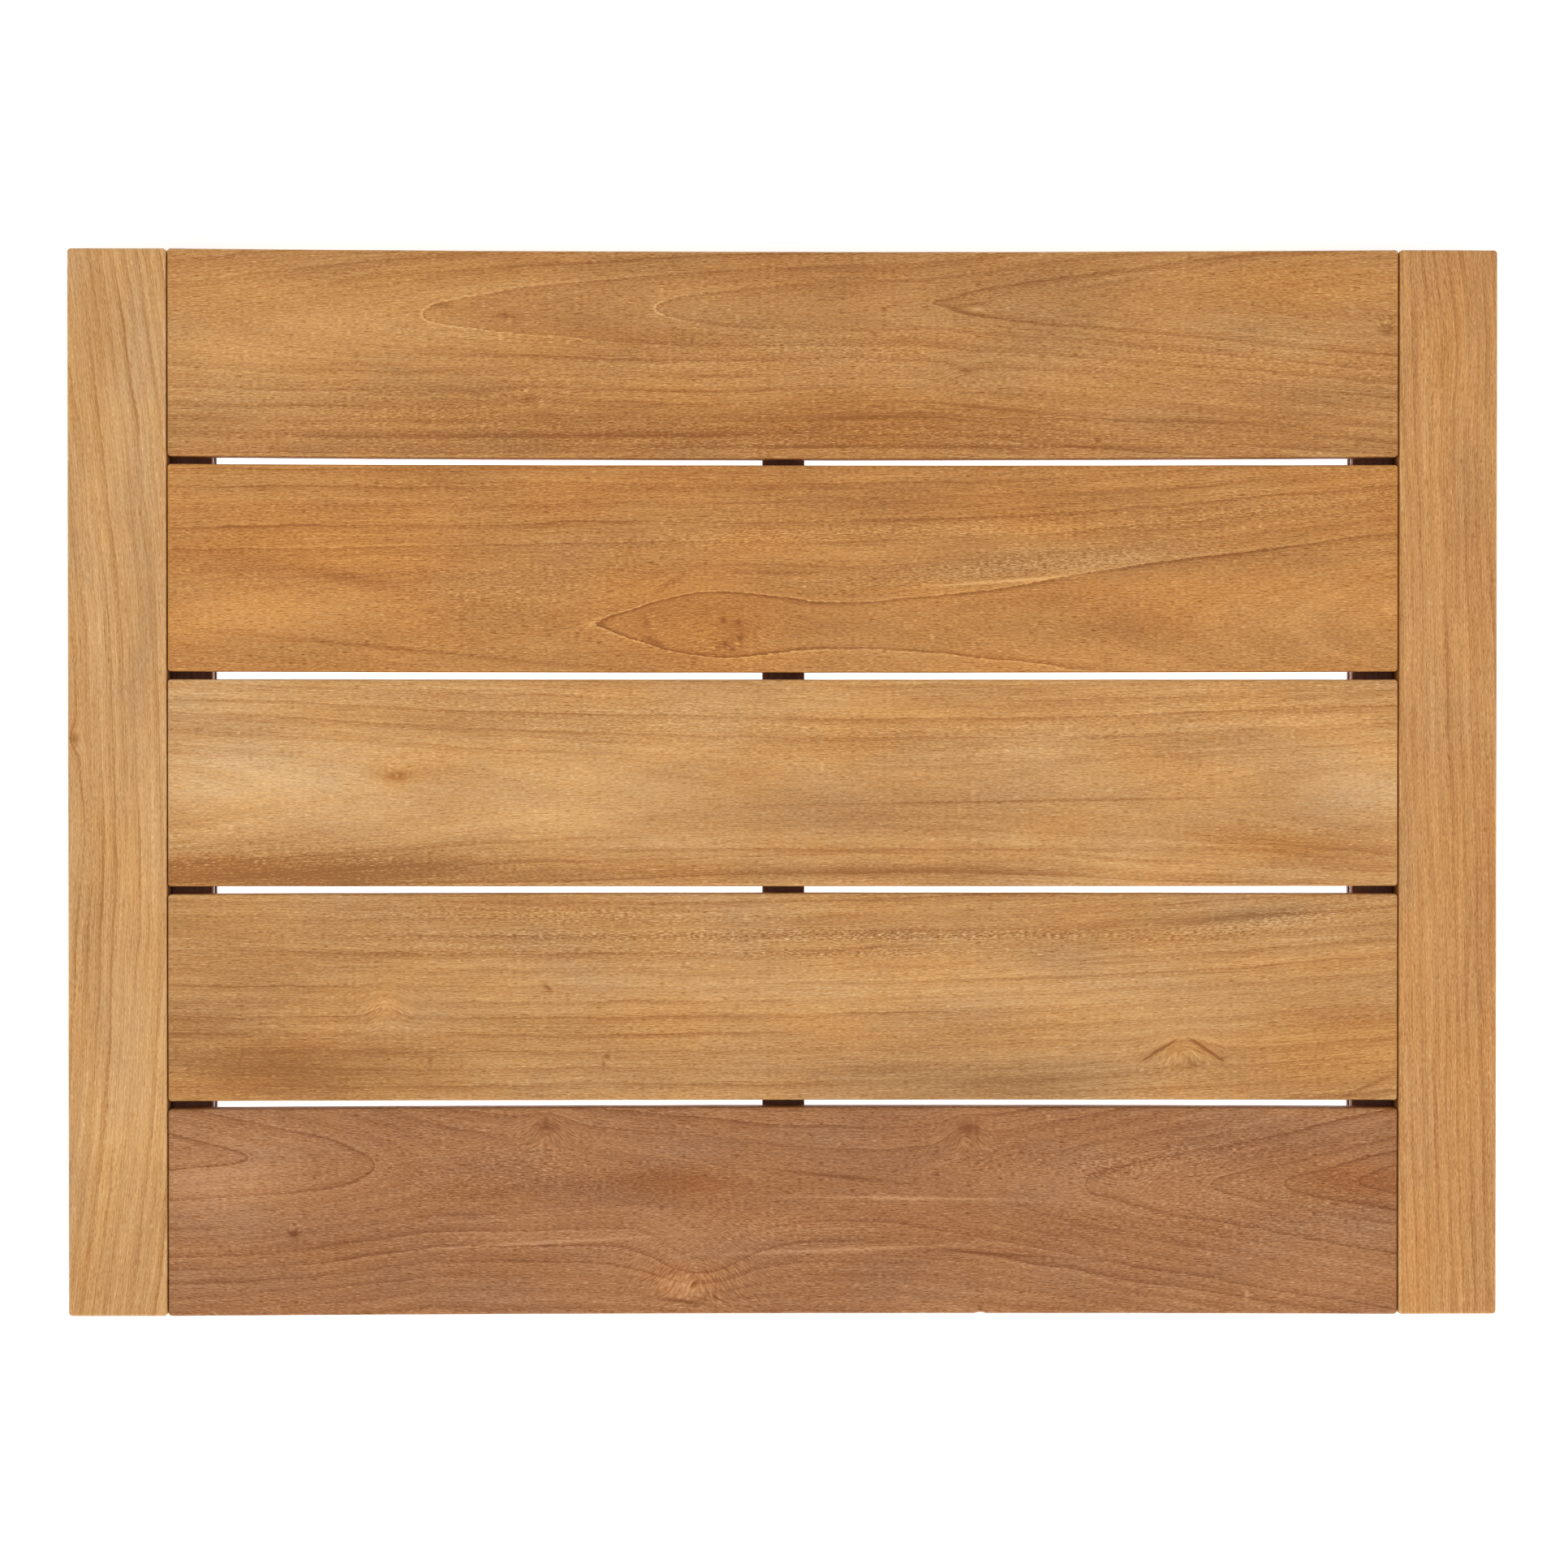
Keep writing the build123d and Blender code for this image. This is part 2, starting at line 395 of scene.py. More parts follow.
def share_setting(label, share, description):
    """A share from 0 to 1 that the user can change."""
    return bpy.props.FloatProperty(
        name=label, description=description, subtype="FACTOR", min=0.0, max=1.0, default=share
    )


def number_setting(label, value, description, unit="NONE"):
    """Any other number that the user can change."""
    return bpy.props.FloatProperty(name=label, description=description, unit=unit, default=value)


class BathMatTeak(bpy.types.PropertyGroup):
    """The wood: one body colour for each board, and how it was finished, with paler eased edges
    that are partly a painted highlight.
    """

    slat_1: colour_setting("Slat 1", "#B58045", "Body colour of the slat at the back")
    slat_2: colour_setting("Slat 2", "#BA8040", "Body colour of the second slat")
    slat_3: colour_setting("Slat 3", "#C29055", "Body colour of the middle slat")
    slat_4: colour_setting("Slat 4", "#BC8A50", "Body colour of the fourth slat")
    slat_5: colour_setting("Slat 5", "#A06C40", "Body colour of the slat at the front")
    rail_left: colour_setting("Left rail", "#CA9A60", "Body colour of the left rail")
    rail_right: colour_setting("Right rail", "#C28C50", "Body colour of the right rail")
    # The battens' body colour is darker than the slats' teak: painted shade, standing in for the
    # shade down in the gaps between the slats.
    batten: colour_setting("Battens", "#603010", "Body colour of the battens")
    roughness: share_setting("Roughness", 0.52, "How dull the oiled wood is")
    # Paler eased edges: partly sanding wear, partly a painted highlight along the rounded edges.
    edge_wear_and_highlight: share_setting("Edge wear", 0.45, "How much paler the sanded edges are")


class BathMatBoards(bpy.types.PropertyGroup):
    """The shape of the boards, as far as it differs from straight planed ones."""

    easing: length_setting("Easing", 1.5 * MM, "Radius along every edge of a slat or rail")
    cell: length_setting("Cell", 3.0 * MM, "Size of a face of the mesh")
    unevenness: length_setting("Unevenness", 0.06 * MM, "How far sanding leaves a face from true")
    crooks: bpy.props.FloatVectorProperty(
        name="Crooks",
        description="How far the middle of each slat lies off line",
        unit="LENGTH",
        size=5,
        default=(-1.1 * MM, -0.45 * MM, -0.1 * MM, 0.35 * MM, 0.7 * MM),
    )
    chip_place: length_setting("Chip place", 84 * MM, "Where slat 5's front edge is chipped")
    chip_length: length_setting("Chip length", 4.9 * MM, "Length of the chip")
    chip_depth: length_setting("Chip depth", 0.5 * MM, "Depth of the chip")


class BathMatHardware(bpy.types.PropertyGroup):
    """The metal and the rubber."""

    steel: colour_setting("Steel", "#C9C7C3", "Stainless steel of the screws and washers")
    steel_roughness: share_setting("Steel roughness", 0.3, "How dull the steel is")
    steel_clouds: share_setting("Steel clouds", 0.82, "How bright the duller patches are")
    rubber: colour_setting("Rubber", "#2B2A29", "Rubber of the feet")
    rubber_roughness: share_setting("Rubber roughness", 0.62, "How dull the rubber is")
    rubber_dust: number_setting("Rubber dust", 2.4, "How many times paler dusty rubber is")


class BathMatStage(bpy.types.PropertyGroup):
    """The floor, the light and the camera."""

    floor: colour_setting("Floor", "#E8E8E8", "Colour of the floor")
    floor_glow: number_setting("Floor glow", 0.5, "Light from the floor around the mat")
    gap_glow: number_setting("Gap glow", 1.1, "Light from the floor under the mat")
    sky: number_setting("Sky", 0.36, "Strength of the even light all round")
    top_light: number_setting("Top light", 56.0, "Power of the light overhead", "POWER")
    front_light: number_setting("Front light", 11.0, "Power of the light in front", "POWER")
    camera_place: bpy.props.FloatVectorProperty(
        name="Camera place",
        description="Where the camera is",
        subtype="TRANSLATION",
        unit="LENGTH",
        default=(-0.025, 0.019, 1.9),
    )
    camera_turn: bpy.props.FloatVectorProperty(
        name="Camera turn",
        description="How the camera is turned from looking straight down",
        subtype="EULER",
        unit="ROTATION",
        default=tuple(math.radians(angle) for angle in (-0.6, -0.77, 0.0)),
    )
    lens: number_setting("Lens", 100.3, "Focal length on a 36 mm sensor, in mm")


# -------- nodes


def add(tree, kind, inputs=None, output=0, **settings):
    """Adds a node, sets it, feeds its inputs with sockets or plain values, and returns one of its
    outputs, or every one of them, or nothing if it has none."""
    node = tree.nodes.new(kind)
    for setting, value in settings.items():
        setattr(node, setting, value)
    for place, source in (inputs or {}).items():
        if isinstance(source, bpy.types.NodeSocket):
            tree.links.new(source, node.inputs[place])
        else:
            node.inputs[place].default_value = source
    return node.outputs[output] if node.outputs else None


def material(name):
    """A new material with an empty tree."""
    made = bpy.data.materials.new(name)
    made.use_nodes = True
    made.node_tree.nodes.clear()
    return made, made.node_tree


def polynomial(tree, value, powers):
    """powers[0] + powers[1] * value + powers[2] * value squared, and so on."""
    total = powers[-1]
    for power in reversed(powers[:-1]):
        total = add(tree, MATH, {0: total, 1: value, 2: power}, operation="MULTIPLY_ADD")
    return total


def millimetres(tree, centre=(0.0, 0.0, 0.0), turn=0.0):
    """Places on the object in millimetres from a centre, with the axes turned about z."""
    return add(
        tree,
        MAPPING,
        {
            "Vector": add(tree, "ShaderNodeTexCoord", output="Object"),
            "Location": centre,
            "Rotation": (0.0, 0.0, turn),
            "Scale": (MM, MM, MM),
        },
        vector_type="TEXTURE",
    )


SPOT_DEPTH = 6.0  # the least depth of a spot into the wood, in millimetres


def add_spots(tree, place, spots, total):
    """Adds round spots to a signal. A spot fades to a third at its long and wide, slowly for
    crisp 1 and faster for more."""
    for spot in spots:
        near = add(
            tree,
            MAPPING,
            {
                "Vector": place,
                "Location": (spot.x, spot.y, 0.0),
                "Rotation": (0.0, 0.0, math.radians(spot.turn)),
                "Scale": (spot.long, spot.wide, max(spot.wide, SPOT_DEPTH)),
            },
            vector_type="TEXTURE",
        )
        square = add(
            tree, VECTOR_MATH, {0: near, 1: near}, output="Value", operation="DOT_PRODUCT"
        )
        if spot.crisp != 1.0:
            square = add(tree, MATH, {0: square, 1: spot.crisp}, operation="POWER")
        fade = add(tree, MATH, {0: math.exp(-1), 1: square}, operation="POWER")
        total = add(tree, MATH, {0: fade, 1: spot.strength, 2: total}, operation="MULTIPLY_ADD")
    return total


SEED_STEP = (91.0, 37.0, 53.0)  # how far apart in the noise two seeds are
OCTAVE_FADE = 0.55  # how strong each finer octave of noise is


def stretched_noise(tree, place, grain_size, detail, seed):
    """Noise around 0, whose features are grain_size long, wide and deep, in millimetres."""
    near = add(
        tree,
        MAPPING,
        {
            "Vector": place,
            "Location": tuple(seed * step for step in SEED_STEP),
            "Scale": tuple(1 / size for size in grain_size),
        },
    )
    speckle = add(
        tree, NOISE, {"Vector": near, "Scale": 1.0, "Detail": detail, "Roughness": OCTAVE_FADE}
    )
    return add(tree, MATH, {0: speckle, 1: 0.5}, operation="SUBTRACT")


def colour_between(tree, value, limits, first, last):
    """A colour that goes from first to last as a value goes from one limit to the other."""
    level = add(tree, MAP_RANGE, {"Value": value, "From Min": limits[0], "From Max": limits[1]})
    ramp = add(tree, RAMP, {0: level})
    for end, colour in zip(ramp.node.color_ramp.elements, (first, last)):
        end.color = (*colour, 1.0)
    return ramp


# -------- teak


# How much of the dark line and of the pale line there is, at a distance in millimetres from
# where two rings meet. The late wood lies before it and the early wood after it. Neither is
# there beyond LINE_REACH.
LINE_REACH = 3.0
LINE_PROFILE = (
    (-1.4, 0.2, 0.0),
    (-0.5, 0.9, 0.0),
    (-0.1, 1.0, 0.0),
    (0.1, 0.0, 1.0),
    (0.5, 0.0, 1.0),
    (0.9, 0.0, 0.25),
    (2.0, 0.0, 0.1),
)
MOST_DARK = 0.55  # the strongest dark line that comes by luck
MOST_PALE = 0.35
LINE_LEAST = 0.04
LINE_LUCK = (0.42, 0.7)  # the noise at which a line is weakest and strongest
SWELL_LUCK = (0.35, 0.65)
SWELL = (0.5, 1.3)  # how much a bold line thins and swells along its run
LINE_RUN = 110.0  # over how many millimetres a line grows strong and weak again
LINE_STEP = 5.37  # how far apart in the noise the lines of two rings are
PALE_STEP = 3.7  # and how far the dark and the pale line of one ring
LATE_WOOD = -0.06
POWER_STEP = 100.0  # the step in millimetres that GRAIN's powers of x count in
# How rings wander: the size of the bends along, across and down, and how far, in millimetres.
WANDERS = (((90, 26, 30), 4.0), ((24, 7, 10), 1.8))
FREEDOM = 0.1  # how freely they wander where they lie flat in the face
FIBRE_SWIRL = 1.6  # how far fibres bend at a swirl, as a share of what the rings do
RAGGED_SIZE = (2.4, 0.5, 0.5)
RAGGED = 1.6  # how far a line's edge is ragged, in millimetres


def past(tree, value, start, sign):
    """How far a value is past a start, upwards for sign 1 or downwards for sign -1, or 0."""
    way = add(tree, MATH, {0: value, 1: sign, 2: -sign * start}, operation="MULTIPLY_ADD")
    return add(tree, MATH, {0: way, 1: 0.0}, operation="MAXIMUM")


def heart_line(tree, along, grain):
    """How far across the tree's heart lies, how far above the face, and how far the tree's taper
    has moved the rings, at a place along."""
    steps = add(tree, MATH, {0: along, 1: POWER_STEP}, operation="DIVIDE")
    across = polynomial(tree, steps, grain["across"])
    above = polynomial(tree, steps, grain["above"])
    taper = 0.0
    for sign, (start, strength) in zip((-1, 1), grain["pinch"]):
        way = past(tree, steps, start, sign)
        square = add(tree, MATH, {0: way, 1: way}, operation="MULTIPLY")
        above = add(tree, MATH, {0: square, 1: -strength, 2: above}, operation="MULTIPLY_ADD")
    for sign, (start, strength) in zip((-1, 1), grain["taper"]):
        way = past(tree, steps, start, sign)
        taper = add(tree, MATH, {0: way, 1: -strength, 2: taper}, operation="MULTIPLY_ADD")
    above = add(tree, MATH, {0: above, 1: grain["nearest"]}, operation="MAXIMUM")
    return across, above, taper


def ring_field(tree, place, grain, seed):
    """The distance from the tree's heart, how steeply it changes over the face, and the place in
    a frame that follows the fibres and in one that follows the rings."""
    along, side, height = add(tree, SEPARATE, {0: place}, output=EVERY)
    across, above, taper = heart_line(tree, along, grain)
    off_heart = add(tree, MATH, {0: side, 1: across}, operation="SUBTRACT")
    under_heart = add(tree, MATH, {0: above, 1: height}, operation="SUBTRACT")
    offset = add(tree, COMBINE, {0: off_heart, 1: under_heart})
    distance = add(tree, VECTOR_MATH, {0: offset}, output="Value", operation="LENGTH")
    steepness = add(tree, MATH, {0: off_heart, 1: distance}, operation="DIVIDE")
    steepness = add(tree, COMBINE, {0: steepness, 1: grain["slope"]})
    steepness = add(tree, VECTOR_MATH, {0: steepness}, output="Value", operation="LENGTH")
    swirl = add_spots(tree, place, grain["swirls"], grain["shift"])
    distance = add(tree, MATH, {0: distance, 1: swirl}, operation="ADD")
    distance = add(tree, MATH, {0: distance, 1: taper}, operation="ADD")
    freedom = add(tree, MATH, {0: steepness, 1: FREEDOM}, operation="ADD")
    for size, reach in WANDERS:
        bend = stretched_noise(tree, place, size, 1.0, seed + reach)
        bend = add(tree, MATH, {0: bend, 1: freedom}, operation="MULTIPLY")
        distance = add(tree, MATH, {0: bend, 1: reach, 2: distance}, operation="MULTIPLY_ADD")
    fibre_side = add(
        tree, MATH, {0: swirl, 1: FIBRE_SWIRL, 2: off_heart}, operation="MULTIPLY_ADD"
    )
    fibres = add(tree, COMBINE, {0: along, 1: fibre_side, 2: height})
    bands = add(tree, COMBINE, {0: along, 1: distance, 2: height})
    return Rings(distance, steepness, fibres, bands)


def line_strength(tree, line, run, grain, seed, side, most):
    """How strong the dark line (side 0) or the pale one (side 1) is where two rings meet."""
    own = add(
        tree, MATH, {0: line, 1: LINE_STEP, 2: seed + PALE_STEP * side}, operation="MULTIPLY_ADD"
    )
    both = add(tree, COMBINE, {0: run, 1: own})
    luck = add(tree, NOISE, {"Vector": both, "Scale": 1.0, "Detail": 1.0})
    strength = add(
        tree,
        MAP_RANGE,
        {
            "Value": luck,
            "From Min": LINE_LUCK[0],
            "From Max": LINE_LUCK[1],
            "To Min": LINE_LEAST,
            "To Max": most,
        },
    )
    swell = add(
        tree,
        MAP_RANGE,
        {
            "Value": luck,
            "From Min": SWELL_LUCK[0],
            "From Max": SWELL_LUCK[1],
            "To Min": SWELL[0],
            "To Max": SWELL[1],
        },
    )
    for number, strengths in grain["bold"].items():
        chosen = add(tree, MATH, {0: line, 1: number, 2: 0.5}, operation="COMPARE")
        wanted = add(tree, MATH, {0: swell, 1: strengths[side]}, operation="MULTIPLY")
        strength = add(tree, "ShaderNodeMix", {0: chosen, 2: strength, 3: wanted})
    return strength


def line_profile(tree, beyond):
    """How much of the dark line and of the pale line there is, at a distance in millimetres
    beyond where two rings meet."""
    level = add(
        tree, MAP_RANGE, {"Value": beyond, "From Min": -LINE_REACH, "From Max": LINE_REACH}
    )
    profile = add(tree, RAMP, {0: level})
    ramp = profile.node.color_ramp
    for at, dark, pale in LINE_PROFILE:
        element = ramp.elements.new((at + LINE_REACH) / (2 * LINE_REACH))
        element.color = (dark, pale, 0.0, 1.0)
    for end in (0, -1):
        ramp.elements[end].color = (0.0, 0.0, 0.0, 1.0)
    return add(tree, "ShaderNodeSeparateColor", {0: profile}, output=EVERY)[:2]


def ring_tone(tree, place, rings, grain, seed):
    """Light and dark from the growth rings. Where one ring meets the next, the late wood ends in
    a dark line and the early wood starts with a pale one. By luck some of these lines are strong
    and some can't be seen, and the ones in a board's bold are as strong as it says."""
    count = add(tree, MATH, {0: rings.distance, 1: grain["spacing"]}, operation="DIVIDE")
    count = add(tree, MATH, {0: count, 1: 0.5}, operation="ADD")
    line = add(tree, MATH, {0: count}, operation="FLOOR")
    within = add(tree, MATH, {0: count}, operation="FRACT")
    beyond = add(tree, MATH, {0: within, 1: 0.5}, operation="SUBTRACT")
    beyond = add(tree, MATH, {0: beyond, 1: grain["spacing"]}, operation="MULTIPLY")
    beyond = add(tree, MATH, {0: beyond, 1: rings.steepness}, operation="DIVIDE")
    ragged = stretched_noise(tree, rings.fibres, RAGGED_SIZE, 1.0, seed + 21)
    beyond = add(tree, MATH, {0: ragged, 1: RAGGED, 2: beyond}, operation="MULTIPLY_ADD")
    dark, pale = line_profile(tree, beyond)

    along = add(tree, SEPARATE, {0: place}, output="X")
    run = add(tree, MATH, {0: along, 1: LINE_RUN}, operation="DIVIDE")
    strength = line_strength(tree, line, run, grain, seed, 0, MOST_DARK)
    dark = add(tree, MATH, {0: dark, 1: strength}, operation="MULTIPLY")
    # Where the rings lie flat in the face, the early wood shows as a broad pale streak.
    flatness = add(
        tree,
        MAP_RANGE,
        {
            "Value": rings.steepness,
            "From Min": 0.15,
            "From Max": 0.7,
            "To Min": 1.0,
            "To Max": 0.2,
        },
    )
    strength = line_strength(tree, line, run, grain, seed, 1, MOST_PALE)
    strength = add(tree, MATH, {0: strength, 1: flatness}, operation="MULTIPLY")
    pale = add(tree, MATH, {0: pale, 1: strength}, operation="MULTIPLY")
    tone = add(tree, MATH, {0: pale, 1: dark}, operation="SUBTRACT")

    # The late wood is a little deeper all over than the early wood that follows it.
    late = add(tree, MATH, {0: within, 1: 2 * math.pi}, operation="MULTIPLY")
    late = add(tree, MATH, {0: late}, operation="SINE")
    tone = add(tree, MATH, {0: late, 1: LATE_WOOD, 2: tone}, operation="MULTIPLY_ADD")
    return tone, within


# The layers of light and dark under the lines. Each is the frame it lies in, its size along,
# across and down in millimetres, its detail and its strength. The ones that follow the rings, in
# the frame called bands, are hard to see where the rings lie flat in the face.
LAYERS = (
    ("place", (90, 22, 22), 2.0, 0.9),
    ("bands", (160, 4.5, 40), 1.0, 0.4),
    ("bands", (70, 1.1, 40), 1.0, 0.5),
    ("bands", (40, 0.5, 40), 0.0, 0.55),
    ("fibres", (12, 0.5, 0.5), 1.0, 0.85),
)
FIBRE_SIZE = (1.9, 0.42, 0.42)
FIBRES = 2.0  # how light and dark single fibres are
PORE_SIZE = (4.5, 0.5, 0.5)
PORES = -0.55
FLECK_SIZE = (3.6, 0.45, 0.45)
FLECK_BELT = (90, 2.2, 40)  # flecks crowd in belts of this size
FLECKS = 0.55
CROWDING = 0.25
RARITY = 0.165
SHARPNESS = 9.0  # how sharply a pore or a fleck ends
END_GRAIN = -0.55
TONE_ROUGHNESS = -0.06
PORE_ROUGHNESS = 0.15
# How much the body colour is deepened or paled from the darkest tone to the lightest.
DEPTHS = (-0.56, -0.28, 0.0, 0.215, 0.43)
CHANNEL_FADE = (1.0, 1.5, 2.25)  # blue changes most, so deep wood is redder too
WARMTH_SIZE = (70, 22, 22)
WARMTH = 2.3
WARM_THREADS = (9, 1.1, 1.1)
THREAD_WARMTH = 1.6
GREYER = (0.9, 0.93, 1.1)  # what the least warm wood multiplies its colour by
YELLOWER = (1.12, 1.03, 0.88)  # and the warmest


def wood_layers(tree, place, rings, seed, tone):
    """Adds the broad light and dark parts and the fine lines between the rings."""
    clearness = add(
        tree,
        MAP_RANGE,
        {"Value": rings.steepness, "From Min": 0.1, "From Max": 0.8, "To Min": 0.35, "To Max": 1.0},
    )
    frames = {"place": place, "bands": rings.bands, "fibres": rings.fibres}
    for number, (frame_name, size, detail, gain) in enumerate(LAYERS):
        layer = stretched_noise(tree, frames[frame_name], size, detail, seed + number)
        if frame_name == "bands":
            layer = add(tree, MATH, {0: layer, 1: clearness}, operation="MULTIPLY")
        tone = add(tree, MATH, {0: layer, 1: gain, 2: tone}, operation="MULTIPLY_ADD")
    return tone


def fibres_and_flecks(tree, rings, clear, seed, tone):
    """Adds single fibres and pale flecks, which stand out as much as clear says."""
    layer = stretched_noise(tree, rings.fibres, FIBRE_SIZE, 1.0, seed + 5)
    layer = add(tree, MATH, {0: layer, 1: clear}, operation="MULTIPLY")
    tone = add(tree, MATH, {0: layer, 1: FIBRES, 2: tone}, operation="MULTIPLY_ADD")
    pale = stretched_noise(tree, rings.fibres, FLECK_SIZE, 0.0, seed + 9)
    belt = stretched_noise(tree, rings.bands, FLECK_BELT, 0.0, seed + 12)
    crowd = add(tree, MATH, {0: belt, 1: CROWDING, 2: -RARITY}, operation="MULTIPLY_ADD")
    flecks = add(tree, MATH, {0: pale, 1: crowd}, operation="ADD")
    flecks = add(tree, MATH, {0: flecks, 1: SHARPNESS}, operation="MULTIPLY", use_clamp=True)
    flecks = add(tree, MATH, {0: flecks, 1: clear}, operation="MULTIPLY")
    return add(tree, MATH, {0: flecks, 1: FLECKS, 2: tone}, operation="MULTIPLY_ADD")


def pore_mask(tree, rings, within, seed):
    """1 in a pore and 0 between. Pores are short dashes, thickest in each ring's early wood."""
    dashes = stretched_noise(tree, rings.fibres, PORE_SIZE, 0.0, seed + 7)
    early = add(tree, MATH, {0: within, 1: 0.5}, operation="ADD")
    early = add(tree, MATH, {0: early}, operation="FRACT")
    least = add(
        tree,
        MAP_RANGE,
        {"Value": early, "From Min": 0.0, "From Max": 1.0, "To Min": 0.12, "To Max": 0.19},
    )
    pores = add(tree, MATH, {0: dashes, 1: least}, operation="SUBTRACT")
    return add(tree, MATH, {0: pores, 1: SHARPNESS}, operation="MULTIPLY", use_clamp=True)


def wood_colour(tree, body, tone, warmth):
    """The body colour, deepened or paled by the tone and made yellower by the warmth."""
    level = add(tree, MAP_RANGE, {"Value": tone, "From Min": -1.0, "From Max": 1.0})
    colours = add(tree, RAMP, {0: level})
    ramp = colours.node.color_ramp
    for share in (0.25, 0.5, 0.75):
        ramp.elements.new(share)
    for element, depth in zip(ramp.elements, DEPTHS):
        shade = (value * math.exp(depth * fade) for value, fade in zip(body, CHANNEL_FADE))
        element.color = (*shade, 1.0)
    tint = colour_between(tree, warmth, (-1.0, 1.0), GREYER, YELLOWER)
    return add(
        tree,
        "ShaderNodeMix",
        {0: 1.0, 6: colours, 7: tint},
        output=2,
        data_type="RGBA",
        blend_type="MULTIPLY",
    )


def teak(name, body, grain, seed, look, centre, turn=0.0):
    """Teak, planed, sanded and oiled. It gives the eye golden brown with darker growth rings,
    short dark pores and pale flecks along the grain, a satin surface, and paler eased edges,
    partly sanding wear and partly a painted highlight. The fibres are really about 0.1 mm
    across, and are drawn 0.5 mm wide, as fine as a view of the whole mat can show."""
    made, tree = material(name)
    place = millimetres(tree, centre, turn)
    rings = ring_field(tree, place, grain, seed)
    tone, within = ring_tone(tree, place, rings, grain, seed)
    tone = add_spots(tree, place, grain["tones"], tone)
    tone = wood_layers(tree, place, rings, seed, tone)
    clear = add_spots(tree, place, grain["flecks"], grain["contrast"])
    tone = fibres_and_flecks(tree, rings, clear, seed, tone)
    pores = pore_mask(tree, rings, within, seed)
    depth = PORES * grain["contrast"]
    tone = add(tree, MATH, {0: pores, 1: depth, 2: tone}, operation="MULTIPLY_ADD")

    # The eased edges are paler: partly sanding wear, partly a painted highlight where the rounded
    # edges catch the light. End grain drinks more oil and is darker.
    edge = add(tree, "ShaderNodeAttribute", output="Fac", attribute_name="eased_edge")
    tone = add(tree, MATH, {0: edge, 1: look.edge_wear_and_highlight, 2: tone}, operation="MULTIPLY_ADD")
    end = add(tree, "ShaderNodeAttribute", output="Fac", attribute_name="end_grain")
    tone = add(tree, MATH, {0: end, 1: END_GRAIN, 2: tone}, operation="MULTIPLY_ADD")

    warmth = stretched_noise(tree, place, WARMTH_SIZE, 1.0, seed + 3)
    threads = stretched_noise(tree, rings.fibres, WARM_THREADS, 1.0, seed + 14)
    warmth = add(tree, MATH, {0: warmth, 1: WARMTH}, operation="MULTIPLY")
    warmth = add(tree, MATH, {0: threads, 1: THREAD_WARMTH, 2: warmth}, operation="MULTIPLY_ADD")
    warmth = add_spots(tree, place, grain["warmths"], warmth)

    # Oil stands in the pores, so they are duller, and they are lower than the fibres round them.
    rough = add(
        tree, MATH, {0: tone, 1: TONE_ROUGHNESS, 2: look.roughness}, operation="MULTIPLY_ADD"
    )
    rough = add(tree, MATH, {0: pores, 1: PORE_ROUGHNESS, 2: rough}, operation="MULTIPLY_ADD")
    relief = add(tree, MATH, {0: pores, 1: -1.0, 2: tone}, operation="MULTIPLY_ADD")
    bump = add(
        tree, "ShaderNodeBump", {"Strength": 0.25, "Distance": 0.08 * MM, "Height": relief}
    )
    surface = add(
        tree,
        PRINCIPLED,
        {
            "Base Color": wood_colour(tree, body, tone, warmth),
            "Roughness": rough,
            "IOR": 1.48,
            "Specular IOR Level": 0.25,
            "Normal": bump,
        },
    )
    add(tree, SURFACE, {"Surface": surface})
    return made


# -------- steel and rubber


def stainless_steel(look):
    """Stainless steel, stamped and tumbled bright. It gives the eye a soft grey shine with fine
    scratches running every way and a few cloudy patches."""
    made, tree = material("Stainless steel, tumbled")
    place = millimetres(tree)
    clouds = stretched_noise(tree, place, (2.5, 2.5, 2.5), 2.0, 3)
    scratches = stretched_noise(tree, place, (2.0, 0.12, 0.12), 1.0, 5)
    marks = add(tree, MATH, {0: scratches, 1: 0.3, 2: clouds}, operation="MULTIPLY_ADD")
    rough = add(
        tree, MATH, {0: marks, 1: 0.3, 2: look.steel_roughness}, operation="MULTIPLY_ADD"
    )
    duller = [channel * look.steel_clouds for channel in look.steel]
    colour = colour_between(tree, marks, (-0.4, 0.4), duller, look.steel)
    bump = add(
        tree, "ShaderNodeBump", {"Strength": 0.2, "Distance": 0.02 * MM, "Height": scratches}
    )
    surface = add(
        tree,
        PRINCIPLED,
        {"Base Color": colour, "Metallic": 1.0, "Roughness": rough, "Normal": bump},
    )
    add(tree, SURFACE, {"Surface": surface})
    return made


def moulded_rubber(look):
    """Rubber, moulded in a spark-eroded tool. It gives the eye a dull dark grey with a fine
    pebbled surface of 0.4 mm grains and a little pale dust."""
    made, tree = material("Rubber, moulded")
    place = millimetres(tree)
    pebbles = stretched_noise(tree, place, (0.4, 0.4, 0.4), 1.0, 2)
    dust = stretched_noise(tree, place, (5.0, 5.0, 3.0), 3.0, 4)
    dusty = [channel * look.rubber_dust for channel in look.rubber]
    colour = colour_between(tree, dust, (-0.1, 0.4), look.rubber, dusty)
    rough = add(
        tree, MATH, {0: dust, 1: 0.4, 2: look.rubber_roughness}, operation="MULTIPLY_ADD"
    )
    bump = add(
        tree, "ShaderNodeBump", {"Strength": 0.5, "Distance": 0.05 * MM, "Height": pebbles}
    )
    surface = add(
        tree,
        PRINCIPLED,
        {"Base Color": colour, "Roughness": rough, "IOR": 1.52, "Normal": bump},
    )
    add(tree, SURFACE, {"Surface": surface})
    return made


def give(node, finish):
    """Puts a material on a CAD node that keeps its own shape."""
    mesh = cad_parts[node].data
    if not mesh.materials:
        mesh.materials.append(finish)
    for index in range(len(mesh.materials)):
        mesh.materials[index] = finish


# -------- boards


